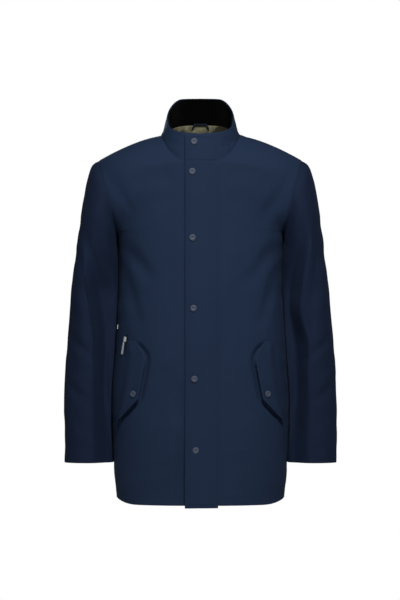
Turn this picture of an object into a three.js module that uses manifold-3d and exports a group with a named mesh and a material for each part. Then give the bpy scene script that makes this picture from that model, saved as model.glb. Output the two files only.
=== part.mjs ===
// A men's hip-length waterproof jacket, hanging as it does when worn: back and front panels, stand
// collar, set-in sleeves, linings and facings, a zip under a storm placket with snaps, and two
// flapped hand pockets, one with a zipped pocket beside it.
// Millimetres, +Z up, the front faces -Y. The origin is the middle of the shoulder line, at the neck.
import * as THREE from 'three';
import { mergeVertices } from 'three/addons/utils/BufferGeometryUtils.js';
import Module from 'manifold-3d';

const wasm = await Module();
wasm.setup();

// ---- Driving dimensions ----
const HEM_Z = -806;
const HEM_LIFT = 12;                    // the hem rises this much towards the side seams
const NECK = { x: 86, z: -2, frontY: 103, frontZ: -62, backY: 70, backZ: 15 };
const SHOULDER = { x: 222, z: -55 };    // where the shoulder line meets the sleeve
const ARMPIT = { x: 180, z: -216 };
const ARMHOLE_HALF_DEPTH = 68;
const CLOTH = 2;                        // outer cloth with its seam allowance
const LINING = { outer: -8.6, inner: -9.8 };
const FACING = { outer: -4.2, inner: -5.4 };   // outer cloth turned in along the fronts and the hem
const FRONT_SLOPE = 0.0475;             // the centre front leans out this much per mm downwards
const FRONT_Y0 = 100;
const CENTRE_GAP = 7;                   // half the distance between the two front edges
const PLACKET = { free: -33, sewn: 38, topZ: -2, bottomZ: -811, inner: 3.6, outer: 5.8 };
const COLLAR_TOP = { x: 73, midY: -17, depth: 83, frontZ: -1, backZ: 84 };
const SLEEVE_GAP = 3;                   // between the torso's side and the hanging sleeve
const CUFF_Z = -718;
const SNAPS = [[-13.5, -18.5], [-17.7, -83.5], [-17, -227], [-15, -380], [-13, -533], [-10, -687]];
const SNAP = { capR: 7.4, capH: 2.6, studR: 5, studH: 2.7 };
const ZIP = { topZ: -7, bottomZ: -742, sliderLength: 12, pullLength: 26 };
const FLAP_SNAP = { x: 142, z: -566 };
const FLAP_EDGE = [[-451, 139], [-478, 119], [-492, 116], [-577, 132], [-622, 172]];
const FLAP_SEWN = { topX: 157, bottomX: 177, topZ: -451, bottomZ: -622 };
const POCKET_ZIP = { topX: 163, topZ: -443, bottomX: 187, bottomZ: -603, halfTape: 9.2 };

const { sin, cos, PI, hypot } = Math;
const lerp = (a, b, t) => a + (b - a) * t;
const clamp01 = (t) => Math.min(1, Math.max(0, t));
const smooth = (t) => clamp01(t) ** 2 * (3 - 2 * clamp01(t));

/** A smooth curve value(x) through [x, value] points, given with x rising. */
function profile(points) {
  const slope = (i) => {
    const a = points[Math.max(0, i - 1)];
    const b = points[Math.min(points.length - 1, i + 1)];
    return (b[1] - a[1]) / (b[0] - a[0]);
  };
  return (x) => {
    let i = 0;
    while (i < points.length - 2 && x > points[i + 1][0]) i += 1;
    const [x0, y0] = points[i];
    const [x1, y1] = points[i + 1];
    const t = clamp01((x - x0) / (x1 - x0));
    const h = x1 - x0;
    return y0 + (y1 - y0) * t * t * (3 - 2 * t)
      + h * t * (1 - t) * (slope(i) * (1 - t) - slope(i + 1) * t);
  };
}

// Half width of the torso at the side seam, and depth of its back, against height.
const sideX = profile([[HEM_Z, 184], [-722, 190], [-583, 194], [-480, 187], [-353, 180],
  [ARMPIT.z, ARMPIT.x]]);
const backY = profile([[HEM_Z, 138], [-600, 128], [-400, 118], [-250, 124], [-130, 121], [-50, 103],
  [NECK.backZ, NECK.backY]]);
const frontY = (z) => -(FRONT_Y0 - FRONT_SLOPE * z);

// ---- The jacket's form: one quarter of the torso as a surface of u (centre to side) and v (up) ----
const V_ARMPIT = 0.6;
const NECK_TURN = { front: 0.55, back: 0.7 };   // where, between armpit and shoulder, the neckline starts

/** The row's end at the side seam or on the armhole edge. */
function rowEnd(face, v) {
  if (v <= V_ARMPIT) {
    const z = lerp(HEM_Z, ARMPIT.z, v / V_ARMPIT);
    return [sideX(z), 0, z];
  }
  const turn = PI * (v - V_ARMPIT) / (1 - V_ARMPIT);
  const rise = (1 - cos(turn)) / 2;
  const sign = face === 'front' ? -1 : 1;
  const y = sign * ARMHOLE_HALF_DEPTH * sin(turn);
  return [lerp(ARMPIT.x, SHOULDER.x, rise), y, lerp(ARMPIT.z, SHOULDER.z, rise)];
}

/** How far forward or back a neck ring reaches at a share of its half width: squarer in front. */
function roundness(face, share) {
  const power = face === 'front' ? 3 : 2.4;
  return Math.max(0, 1 - share ** power) ** (1 / power);
}

/** A point of the neckline; angle 0 is its middle and PI / 2 is the shoulder. */
function neckline(face, angle) {
  const dip = 1 - sin(angle) ** 3.5;
  const reach = roundness(face, sin(angle));
  if (face === 'front') return [NECK.x * sin(angle), -NECK.frontY * reach, lerp(NECK.z, NECK.frontZ, dip)];
  return [NECK.x * sin(angle), NECK.backY * reach, lerp(NECK.z, NECK.backZ, dip)];
}

/** The row's start on the centre line or the neckline. */
function rowStart(face, v) {
  const depth = face === 'front' ? frontY : backY;
  if (v <= V_ARMPIT) {
    const z = lerp(HEM_Z, ARMPIT.z, v / V_ARMPIT);
    return [0, depth(z), z];
  }
  const part = (v - V_ARMPIT) / (1 - V_ARMPIT);
  const turn = NECK_TURN[face];
  const neckZ = face === 'front' ? NECK.frontZ : NECK.backZ;
  if (part <= turn) {
    const z = lerp(ARMPIT.z, neckZ, part / turn);
    return [0, depth(z), z];
  }
  return neckline(face, (part - turn) / (1 - turn) * PI / 2);
}

/** A point on the outside of the torso. side is 1 on the wearer's left, which is +X. */
function torso(side, face, u, v) {
  const start = rowStart(face, v);
  const end = rowEnd(face, v);
  const open = smooth((v - V_ARMPIT) / 0.14);
  const angle = clamp01(u) * PI / 2;
  const across = lerp(sin(angle) ** 0.83, u, open);
  const back = lerp(Math.max(0, cos(angle)) ** 0.83, 1 - u ** 2.5, open);
  const lift = HEM_LIFT * smooth((u - 0.5) / 0.5) * (1 - clamp01(v / 0.06));
  const gap = face === 'front' ? -0.3 : 0.3;
  return new THREE.Vector3(
    side * lerp(start[0], end[0], across),
    lerp(end[1], start[1], back) + gap,
    lerp(start[2], end[2], across ** 1.45) + lift,
  );
}

/** The u at which a row of the torso reaches the distance x from the centre. */
function uAt(face, v, x) {
  let low = 0;
  let high = 1;
  for (let i = 0; i < 30; i += 1) {
    const mid = (low + high) / 2;
    if (torso(1, face, mid, v).x < x) low = mid;
    else high = mid;
  }
  return low;
}

/** A point of the front below the armpits, from its distance to the centre and its height. */
function onFront(side, x, z) {
  const v = V_ARMPIT * (z - HEM_Z) / (ARMPIT.z - HEM_Z);
  return torso(side, 'front', uAt('front', v, x), v);
}

// ---- Solids from surfaces ----
const STEP = 0.004;
const ON_CENTRE = 1e-6;

/** The unit normal of a surface at (u, v), on the side that sign chooses. */
function normalAt(surface, u, v, sign) {
  const du = surface(Math.min(1, u + STEP), v).sub(surface(Math.max(0, u - STEP), v));
  const dv = surface(u, Math.min(1, v + STEP)).sub(surface(u, Math.max(0, v - STEP)));
  return du.cross(dv).normalize().multiplyScalar(sign);
}

/** A closed geometry from vertices and triangles, turned to face out. */
function closedGeometry(vertices, triangles) {
  let volume = 0;
  for (const [a, b, c] of triangles) {
    volume += vertices[a].dot(new THREE.Vector3().crossVectors(vertices[b], vertices[c]));
  }
  const faces = volume < 0 ? triangles.map(([a, b, c]) => [a, c, b]) : triangles;
  const geometry = new THREE.BufferGeometry();
  const places = vertices.flatMap((p) => p.toArray());
  geometry.setAttribute('position', new THREE.Float32BufferAttribute(places, 3));
  geometry.setIndex(faces.flat());
  return geometry;
}

/**
 * The solid between two offsets of a surface. outer and inner are numbers or functions of (u, v);
 * rows holds the v values, from and to give the u range of each row, and ring closes u on itself.
 */
function slab({ surface, sign, outer, inner, columns, rows, from = () => 0, to = () => 1, ring = false }) {
  const value = (offset, u, v) => (typeof offset === 'function' ? offset(u, v) : offset);
  const count = ring ? columns : columns + 1;
  const vertices = [];
  for (const offset of [outer, inner]) {
    for (const v of rows) {
      for (let i = 0; i < count; i += 1) {
        const u = lerp(from(v), to(v), i / columns);
        const point = surface(u, v);
        const out = normalAt(surface, u, v, sign);
        if (Math.abs(point.x) < ON_CENTRE) out.setX(0).normalize();
        vertices.push(point.addScaledVector(out, value(offset, u, v)));
      }
    }
  }
  const layer = count * rows.length;
  const at = (level, row, i) => level * layer + row * count + (i % count);
  const triangles = [];
  const quad = (a, b, c, d) => triangles.push([a, b, c], [a, c, d]);
  for (let row = 0; row < rows.length - 1; row += 1) {
    for (let i = 0; i < columns; i += 1) {
      quad(at(0, row, i), at(0, row, i + 1), at(0, row + 1, i + 1), at(0, row + 1, i));
      quad(at(1, row, i), at(1, row + 1, i), at(1, row + 1, i + 1), at(1, row, i + 1));
    }
    if (!ring) {
      quad(at(0, row, 0), at(0, row + 1, 0), at(1, row + 1, 0), at(1, row, 0));
      quad(at(0, row, columns), at(1, row, columns), at(1, row + 1, columns), at(0, row + 1, columns));
    }
  }
  const last = rows.length - 1;
  for (let i = 0; i < columns; i += 1) {
    quad(at(0, 0, i), at(1, 0, i), at(1, 0, i + 1), at(0, 0, i + 1));
    quad(at(0, last, i), at(0, last, i + 1), at(1, last, i + 1), at(1, last, i));
  }
  return closedGeometry(vertices, triangles);
}

const spread = (a, b, n) => Array.from({ length: n + 1 }, (_, i) => lerp(a, b, i / n));

/** The v values of a torso panel: even below the armpit, and with a row where the neckline starts. */
function torsoRows(face, low, high, lowerCount, upperCount) {
  const turn = lerp(V_ARMPIT, 1, NECK_TURN[face]);
  const lower = spread(low, V_ARMPIT, lowerCount);
  const middle = spread(V_ARMPIT, turn, upperCount).slice(1);
  return [...lower, ...middle, ...spread(turn, high, upperCount).slice(1)];
}

// ---- Booleans ----
function toManifold(geometry) {
  const bare = geometry.clone();
  bare.deleteAttribute('normal');
  bare.deleteAttribute('uv');
  const merged = mergeVertices(bare, 1e-4);
  return new wasm.Manifold(new wasm.Mesh({
    numProp: 3,
    vertProperties: Float32Array.from(merged.attributes.position.array),
    triVerts: Uint32Array.from(merged.index.array),
  }));
}

function fromManifold(solid) {
  const mesh = solid.getMesh();
  const geometry = new THREE.BufferGeometry();
  geometry.setAttribute('position', new THREE.BufferAttribute(mesh.vertProperties, 3));
  geometry.setIndex(new THREE.BufferAttribute(mesh.triVerts, 1));
  return geometry;
}

/** A geometry with each of the cutters taken out of it. */
function cut(geometry, cutters) {
  const whole = toManifold(geometry);
  return fromManifold(cutters.reduce((solid, tool) => solid.subtract(toManifold(tool)), whole));
}

// ---- Materials and scene helpers ----
function material(color, roughness, metalness = 0) {
  return new THREE.MeshStandardMaterial({ color, roughness, metalness });
}
const shellCloth = () => material(0x232f45, 0.75);
const sleeveCloth = () => material(0x1c2639, 0.75);
const facingCloth = () => material(0x0c0c0f, 0.95);
const liningCloth = () => material(0x6b6a4c, 0.8);
const pocketCloth = () => material(0x1a1f2b, 0.9);
const tapeCloth = () => material(0x151c2b, 0.85);
const snapMetal = () => material(0x42506a, 0.4, 0.3);
const studMetal = () => material(0x8b8f96, 0.35, 0.9);
const zipMetal = () => material(0xa8abb0, 0.3, 1);
const tagCloth = () => material(0xc9c9c4, 0.85);

const jacket = new THREE.Group();
jacket.name = 'jacket';

function piece(name, geometry, surface, parent = jacket) {
  const mesh = new THREE.Mesh(geometry, surface);
  mesh.name = name;
  parent.add(mesh);
  return mesh;
}

function extrudeOutline(points, depth) {
  const shape = new THREE.Shape(points.map(([x, y]) => new THREE.Vector2(x, y)));
  return new THREE.ExtrudeGeometry(shape, { depth, bevelEnabled: false, steps: 1 });
}

/** A group whose Z axis runs up from low to high, and whose Y axis points into the jacket. */
function seamFrame(low, high, outward) {
  const up = high.clone().sub(low).normalize();
  const inward = outward.clone().negate();
  inward.addScaledVector(up, -inward.dot(up)).normalize();
  const across = new THREE.Vector3().crossVectors(inward, up);
  const frame = new THREE.Group();
  frame.quaternion.setFromRotationMatrix(new THREE.Matrix4().makeBasis(across, inward, up));
  frame.position.copy(high);
  jacket.add(frame);
  frame.updateMatrixWorld(true);
  return frame;
}

const sides = [[1, 'left'], [-1, 'right']];
const faceSign = (side, face) => side * (face === 'front' ? 1 : -1);

// ---- Torso panels ----
function backPanel(name, offsets, rows, columns, surfaceMaterial) {
  // Two mirrored halves, joined along the centre back.
  const [left, right] = sides.map(([side]) => toManifold(slab({
    surface: (u, v) => torso(side, 'back', u, v), sign: faceSign(side, 'back'), ...offsets, columns, rows,
  })));
  piece(name, fromManifold(left.add(right)), surfaceMaterial);
}

/** Slots for the zipped pocket and the pocket mouths, as long boxes that cross the front panel. */
function slotBox(frame, halfWidth, top, bottom) {
  const box = new THREE.BoxGeometry(2 * halfWidth, 10, top - bottom);
  box.translate(0, 1, (top + bottom) / 2);
  return box.applyMatrix4(frame.matrixWorld);
}

function outwardOnFront(side, x, z) {
  const v = V_ARMPIT * (z - HEM_Z) / (ARMPIT.z - HEM_Z);
  return normalAt((a, b) => torso(side, 'front', a, b), uAt('front', v, x), v, faceSign(side, 'front'));
}

function frameOnFront(side, top, bottom) {
  const low = onFront(side, bottom[0], bottom[1]);
  const high = onFront(side, top[0], top[1]);
  const outward = outwardOnFront(side, top[0], top[1]).add(outwardOnFront(side, bottom[0], bottom[1]));
  return seamFrame(low, high, outward.normalize());
}

const zipFrame = frameOnFront(-1, [POCKET_ZIP.topX, POCKET_ZIP.topZ],
  [POCKET_ZIP.bottomX, POCKET_ZIP.bottomZ]);
const zipLength = hypot(POCKET_ZIP.topX - POCKET_ZIP.bottomX, POCKET_ZIP.topZ - POCKET_ZIP.bottomZ);
const MOUTH_INSET = 9;                  // pocket mouths lie this far in from the flap's sewn edge

function frontPanel(side, name) {
  const surface = (u, v) => torso(side, 'front', u, v);
  const geometry = slab({
    surface, sign: faceSign(side, 'front'), outer: 0, inner: -CLOTH, columns: 8,
    rows: torsoRows('front', 0, 1, 9, 5), from: (v) => uAt('front', v, CENTRE_GAP),
  });
  const mouth = frameOnFront(side, [FLAP_SEWN.topX - MOUTH_INSET, FLAP_SEWN.topZ - 14],
    [FLAP_SEWN.bottomX - MOUTH_INSET, FLAP_SEWN.bottomZ + 22]);
  const cutters = [slotBox(mouth, 1.5, 0, -130)];
  if (side < 0) cutters.push(slotBox(zipFrame, POCKET_ZIP.halfTape + 0.4, 8, -zipLength));
  piece(name, cut(geometry, cutters), shellCloth());
}

function liningFront(side, name) {
  const surface = (u, v) => torso(side, 'front', u, v);
  piece(name, slab({
    surface, sign: faceSign(side, 'front'), ...LINING, columns: 5,
    rows: torsoRows('front', 0.06, 0.985, 5, 3), from: (v) => uAt('front', v, 66), to: () => 0.98,
  }), liningCloth());
}

/** The strip of outer cloth turned in along a front edge, and the band turned up at the hem. */
function frontFacing(side, name) {
  const surface = (u, v) => torso(side, 'front', u, v);
  const top = lerp(V_ARMPIT, 1, NECK_TURN.front * 0.97);
  piece(name, slab({
    surface, sign: faceSign(side, 'front'), ...FACING, columns: 2,
    rows: spread(0.015, top, 5), from: (v) => uAt('front', v, 24), to: (v) => uAt('front', v, 64),
  }), shellCloth());
}

function hemBand(name, surface, sign, from, to) {
  piece(name, slab({ surface, sign, ...FACING, columns: 6, rows: [0.004, 0.05], from, to }), shellCloth());
}

backPanel('back_panel', { outer: 0, inner: -CLOTH }, torsoRows('back', 0, 1, 7, 4), 7, shellCloth());
backPanel('lining_back', LINING, torsoRows('back', 0.06, 0.97, 4, 3), 5, liningCloth());
hemBand('hem_facing_back', (u, v) => torso(u < 0.5 ? -1 : 1, 'back', Math.abs(2 * u - 1), v), -1,
  () => 0.01, () => 0.99);
for (const [side, label] of sides) {
  frontPanel(side, `front_${label}`);
  liningFront(side, `lining_front_${label}`);
  frontFacing(side, `front_facing_${label}`);
  hemBand(`hem_facing_${label}`, (u, v) => torso(side, 'front', u, v), faceSign(side, 'front'),
    (v) => uAt('front', v, 68), () => 0.98);
}

// ---- Collar: a band on the neckline, with its top edge low in front and high behind ----
const collarRise = profile([[0, 0], [30, 0.02], [60, 0.13], [75, 0.24], [90, 0.42], [120, 0.81], [137, 0.955],
  [152, 0.99], [180, 1]]);

function collarPoint(turn, height) {
  // turn runs 0 to 1 from the centre front round the wearer's left to the back and on to the front.
  const side = turn < 0.5 ? 1 : -1;
  const angle = Math.min(turn, 1 - turn) * 2 * PI;
  const face = angle < PI / 2 ? 'front' : 'back';
  const [bx, by, bz] = neckline(face, face === 'front' ? angle : PI - angle);
  const reach = (face === 'front' ? 1 : -1) * roundness(face, Math.min(1, sin(angle)));
  const tx = COLLAR_TOP.x * sin(angle);
  const ty = COLLAR_TOP.midY - COLLAR_TOP.depth * reach;
  const tz = lerp(COLLAR_TOP.frontZ, COLLAR_TOP.backZ, collarRise(angle * 180 / PI));
  const z = lerp(bz + 2.2, tz + 0.8, height);
  return new THREE.Vector3(side * lerp(bx, tx, height), lerp(by, ty, height), z);
}

function collarBand(name, outer, inner, low, high, surfaceMaterial, edge) {
  const start = (height) => Math.asin(edge / lerp(NECK.x, COLLAR_TOP.x, height)) / (2 * PI);
  piece(name, slab({
    surface: collarPoint, sign: 1, outer, inner, columns: 24, rows: spread(low, high, 3),
    from: start, to: (height) => 1 - start(height),
  }), surfaceMaterial);
}

collarBand('collar_outer', 0, -CLOTH, 0, 1, shellCloth(), CENTRE_GAP);
collarBand('collar_facing', -3.8, -6.2, 0.06, 0.99, facingCloth(), 24);

// ---- Main zip, in a frame that runs down the centre front ----
const centreTop = new THREE.Vector3(0, frontY(0), 0);
const centreLow = new THREE.Vector3(0, frontY(HEM_Z), HEM_Z);
const centre = seamFrame(centreLow, centreTop, new THREE.Vector3(0, -1, 0));

function mirrorX(points, side) {
  return side > 0 ? points : points.map(([x, y]) => [-x, y]).reverse();
}

const RAIL = [[0.6, -0.4], [3.2, -0.4], [3.2, 3.3], [11, 3.3], [11, 4.1], [3.2, 4.1], [3.2, 4.8], [0.6, 4.8]];
const SLIDER = [[-5.5, -2.2], [5.5, -2.2], [5.5, -0.7], [0.3, -0.7], [0.3, 5.1], [5.5, 5.1], [5.5, 6.3],
  [-5.5, 6.3], [-5.5, 5.1], [-0.3, 5.1], [-0.3, -0.7], [-5.5, -0.7]];
const SLIDER_TOP = ZIP.topZ - 6;

for (const [side, label] of sides) {
  const tape = extrudeOutline(mirrorX(RAIL, side), ZIP.topZ - ZIP.bottomZ);
  piece(`zip_tape_${label}`, tape, tapeCloth(), centre).position.z = ZIP.bottomZ;
  const stop = new THREE.BoxGeometry(2.4, 6, 3);
  piece(`zip_stop_${label}`, stop, zipMetal(), centre).position.set(side * 1.9, 2, ZIP.topZ + 1.9);
}
piece('zip_box', new THREE.BoxGeometry(11, 6.4, 9), zipMetal(), centre)
  .position.set(0, 2.2, ZIP.bottomZ - 4.9);
piece('zip_slider', extrudeOutline(SLIDER, ZIP.sliderLength), zipMetal(), centre)
  .position.z = SLIDER_TOP - ZIP.sliderLength;

/** A flat pull tab hanging down from its pivot, wider at its free end. */
function pullTab(length, topHalf, endHalf, thickness) {
  const outline = [[-topHalf, 0], [-endHalf, -length + 3], [-endHalf + 2, -length], [endHalf - 2, -length],
    [endHalf, -length + 3], [topHalf, 0]];
  const geometry = extrudeOutline(outline, thickness);
  return geometry.rotateX(PI / 2).translate(0, thickness / 2, 0);
}

piece('zip_pull', pullTab(ZIP.pullLength, 1.8, 3.2, 0.8), zipMetal(), centre)
  .position.set(0, -2.95, SLIDER_TOP - 5);
const guardTop = -70;
piece('zip_guard', new THREE.BoxGeometry(44, 1.3, guardTop - ZIP.bottomZ), shellCloth(), centre)
  .position.set(0, 7.5, (guardTop + ZIP.bottomZ) / 2);

// ---- Storm placket: one strip from the collar's top edge to below the hem ----
function frontStrip(x, z) {
  // The centre front seen as one strip: torso below the neckline, collar above it.
  const side = x < 0 ? -1 : 1;
  const width = Math.abs(x);
  if (z <= NECK.frontZ) {
    const v = z <= ARMPIT.z
      ? V_ARMPIT * (z - HEM_Z) / (ARMPIT.z - HEM_Z)
      : lerp(V_ARMPIT, 1, NECK_TURN.front * (z - ARMPIT.z) / (NECK.frontZ - ARMPIT.z));
    const p = torso(side, 'front', uAt('front', Math.max(0, v), width), Math.max(0, v));
    return p.setZ(z);
  }
  const height = (z - NECK.frontZ) / (COLLAR_TOP.frontZ - NECK.frontZ);
  const angle = Math.asin(width / lerp(NECK.x, COLLAR_TOP.x, height));
  const p = collarPoint(angle / (2 * PI), height);
  return new THREE.Vector3(x, p.y, z);
}

const placketSurface = (u, v) => frontStrip(
  lerp(PLACKET.free, PLACKET.sewn, u),
  lerp(PLACKET.bottomZ, PLACKET.topZ, v),
);
const ramp = (u) => smooth((1 - u) / 0.28);
const placketRows = [...spread(0, 0.73, 5), ...spread(0.73, 0.922, 5).slice(1), 0.961, 1];
piece('storm_placket', slab({
  surface: placketSurface, sign: 1, columns: 7, rows: placketRows,
  outer: (u) => lerp(4.4, PLACKET.outer, ramp(u)), inner: (u) => lerp(2.4, PLACKET.inner, ramp(u)),
}), shellCloth());

// ---- Snaps: a cap outside the cloth and a stud on the layer below ----
function capGeometry() {
  const { capR: r, capH: h } = SNAP;
  const outline = [[0, 0], [r, 0], [r, 1], [r - 2, h], [2.4, h], [1.4, h - 0.7], [0, h - 0.7]];
  return new THREE.LatheGeometry(outline.map(([x, y]) => new THREE.Vector2(x, y)), 12);
}

function studGeometry() {
  const { studR: r, studH: h } = SNAP;
  const outline = [[0, 0], [r, 0], [r, 0.8], [2.4, 0.8], [2.4, h], [0, h]];
  return new THREE.LatheGeometry(outline.map(([x, y]) => new THREE.Vector2(x, y)), 9);
}

/** Puts a lathed piece at a point, with its axis along outward. */
function along(mesh, point, outward, distance) {
  mesh.quaternion.setFromUnitVectors(new THREE.Vector3(0, 1, 0), outward);
  mesh.position.copy(point).addScaledVector(outward, distance);
}

SNAPS.forEach(([x, z], i) => {
  const u = (x - PLACKET.free) / (PLACKET.sewn - PLACKET.free);
  const v = (z - PLACKET.bottomZ) / (PLACKET.topZ - PLACKET.bottomZ);
  const outward = normalAt(placketSurface, u, v, 1);
  const point = placketSurface(u, v);
  along(piece(`snap_cap_${i + 1}`, capGeometry(), snapMetal()), point, outward, PLACKET.outer + 0.4);
  along(piece(`snap_stud_${i + 1}`, studGeometry(), studMetal()), point, outward, 0.5);
});

// ---- Pockets: a five-sided flap sewn along its outer edge, over a mouth with a flat bag behind ----
const flapEdge = (z) => {
  let i = 0;
  while (i < FLAP_EDGE.length - 2 && z < FLAP_EDGE[i + 1][0]) i += 1;
  const [z0, x0] = FLAP_EDGE[i];
  const [z1, x1] = FLAP_EDGE[i + 1];
  return lerp(x0, x1, (z - z0) / (z1 - z0));
};
const sewnEdge = (z) => lerp(FLAP_SEWN.topX, FLAP_SEWN.bottomX,
  (z - FLAP_SEWN.topZ) / (FLAP_SEWN.bottomZ - FLAP_SEWN.topZ));
const flapDepth = FLAP_SEWN.topZ - FLAP_SEWN.bottomZ;
const flapRow = (z) => (z - FLAP_SEWN.bottomZ) / flapDepth;
const flapRise = (u) => smooth((1 - u) / 0.35);

function pocketBag(side, name, inset, width, top, bottom, outer, inner) {
  const surface = (u, v) => {
    const z = lerp(bottom, top, v);
    return onFront(side, sewnEdge(z) - inset - width * (1 - u), z);
  };
  const rows = spread(0, 1, 4);
  const sign = faceSign(side, 'front');
  piece(name, slab({ surface, sign, outer, inner, columns: 4, rows }), pocketCloth());
}

for (const [side, label] of sides) {
  // u runs from the free edge to the sewn edge, so that its sense is that of the front panel.
  const surface = (u, v) => {
    const z = lerp(FLAP_SEWN.bottomZ, FLAP_SEWN.topZ, v);
    return onFront(side, lerp(flapEdge(z), sewnEdge(z), u), z);
  };
  const sign = faceSign(side, 'front');
  const rows = [0, 0.13, ...[-577, -535, -492, -478, -464].map(flapRow), 1];
  piece(`pocket_flap_${label}`, slab({
    surface, sign, columns: 4, rows,
    outer: (u) => lerp(2.6, 5.9, flapRise(u)), inner: (u) => lerp(0.6, 3.9, flapRise(u)),
  }), shellCloth());
  const outward = outwardOnFront(side, FLAP_SNAP.x, FLAP_SNAP.z);
  const point = onFront(side, FLAP_SNAP.x, FLAP_SNAP.z);
  along(piece(`flap_snap_cap_${label}`, capGeometry(), snapMetal()), point, outward, 6.6);
  along(piece(`flap_snap_stud_${label}`, studGeometry(), studMetal()), point, outward, 0.5);
  pocketBag(side, `pocket_bag_${label}`, 2, 88, -462, -690, -4.2, -5.6);
}

// ---- Zipped pocket on the wearer's right, outside the flap ----
const TAPE = [[0.5, 0.2], [POCKET_ZIP.halfTape, 0.2], [POCKET_ZIP.halfTape, 1], [2, 1], [2, 2.4], [0.5, 2.4]];
const POCKET_SLIDER = [[-4.6, -1.8], [-1.4, -1.8], [-1.4, -2.8], [1.4, -2.8], [1.4, -1.8], [4.6, -1.8],
  [4.6, -0.3], [0.25, -0.3], [0.25, 2.8], [4, 2.8], [4, 3.8], [-4, 3.8], [-4, 2.8], [-0.25, 2.8],
  [-0.25, -0.3], [-4.6, -0.3]];
for (const [side, label] of [[1, 'inner'], [-1, 'outer']]) {
  piece(`pocket_zip_tape_${label}`, extrudeOutline(mirrorX(TAPE, side), zipLength + 6), tapeCloth(), zipFrame)
    .position.z = -zipLength + 1;
}
const POCKET_SLIDER_Z = -9.5;
piece('pocket_zip_slider', extrudeOutline(POCKET_SLIDER, 10), zipMetal(), zipFrame)
  .position.z = POCKET_SLIDER_Z;
piece('pocket_zip_pull', pullTab(28, 2, 3.4, 1.2), zipMetal(), zipFrame)
  .position.set(0, -3.2, POCKET_SLIDER_Z - 1.2);

// ---- Sleeves: rings that turn from the armhole's plane to level, then taper to the cuff ----
const LEVEL_V = 0.3;                    // up to here the rings still turn
const LEVEL_Z = -244;
const outerX = profile([[CUFF_Z, 297], [-575, 297], [-506, 294], [-419, 288], [-331, 281], [LEVEL_Z, 270]]);
const sleeveDepth = profile([[0, ARMHOLE_HALF_DEPTH], [0.3, 73], [0.55, 66], [0.8, 52], [1, 45]]);
const crownX = profile([[0, SHOULDER.x], [0.2, 237], [0.4, 246], [0.6, 254], [0.8, 262], [1, 270]]);
const crownZ = profile([[0, SHOULDER.z], [0.2, -69], [0.4, -95], [0.6, -134], [0.8, -186], [1, LEVEL_Z]]);

function sleevePoint(side, u, v) {
  let outer;
  let inner;
  if (v <= LEVEL_V) {
    const t = v / LEVEL_V;
    outer = [crownX(t), crownZ(t)];
    inner = [lerp(ARMPIT.x, sideX(LEVEL_Z) + SLEEVE_GAP, t), lerp(ARMPIT.z, LEVEL_Z, t ** 1.3)];
  } else {
    const z = lerp(LEVEL_Z, CUFF_Z, (v - LEVEL_V) / (1 - LEVEL_V));
    outer = [outerX(z), z];
    inner = [sideX(z) + SLEEVE_GAP, z];
  }
  const angle = 2 * PI * u;
  const swing = (1 + cos(angle)) / 2;
  const forward = -16 * smooth((v - 0.2) / 0.8);
  return new THREE.Vector3(
    side * (lerp(inner[0], outer[0], swing) + 1.4),
    forward - sleeveDepth(v) * sin(angle),
    lerp(inner[1], outer[1], swing),
  );
}

const sleeveRows = [...spread(0, LEVEL_V, 5), ...spread(LEVEL_V, 1, 6).slice(1)];
function sleeveTube(side, name, outer, inner, rows, columns, surfaceMaterial) {
  const surface = (u, v) => sleevePoint(side, u, v);
  const around = (u, v) => surface(((u % 1) + 1) % 1, v);
  const geometry = slab({ surface: around, sign: side, outer, inner, columns, rows, ring: true });
  piece(name, geometry, surfaceMaterial);
}

for (const [side, label] of sides) {
  sleeveTube(side, `sleeve_${label}`, 0, -CLOTH, sleeveRows, 16, sleeveCloth());
  sleeveTube(side, `sleeve_lining_${label}`, -5.6, -6.8, [0.1, 0.3, 0.5, 0.72, 0.93], 12, liningCloth());
  sleeveTube(side, `cuff_facing_${label}`, -4.2, -5.3, [0.94, 0.996], 14, sleeveCloth());
}

// ---- Hanger loop inside the back of the neck, and a blank tag at the side seam ----
const LOOP = { y: 57, z: 17.5, half: 20, height: 11, band: 3, depth: 3 };
const loopOutline = [[-LOOP.half, 0], [-LOOP.half + 6, LOOP.height], [LOOP.half - 6, LOOP.height],
  [LOOP.half, 0], [LOOP.half - 3.5, 0], [LOOP.half - 8.5, LOOP.height - LOOP.band],
  [-LOOP.half + 8.5, LOOP.height - LOOP.band], [-LOOP.half + 3.5, 0]];
piece('hanger_loop', extrudeOutline(loopOutline, LOOP.depth).rotateX(PI / 2), tapeCloth())
  .position.set(0, LOOP.y + LOOP.depth / 2, LOOP.z);

const tagPoint = onFront(-1, 180.5, -421);
const tag = piece('side_tag', new THREE.BoxGeometry(6, 0.8, 9), tagCloth());
tag.quaternion.setFromUnitVectors(new THREE.Vector3(0, -1, 0), outwardOnFront(-1, 180.5, -421));
tag.position.copy(tagPoint).addScaledVector(outwardOnFront(-1, 180.5, -421), 1.2);

export default jacket;
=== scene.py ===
"""Looks of a hip-length waterproof jacket: cloth, stitching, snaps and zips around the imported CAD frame.

The forms below repeat the part's own driving dimensions, in millimetres, and turn to metres when a
mesh is made. Every layer of a panel shares that panel's folds, so layers keep their distance.
"""

import math

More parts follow.
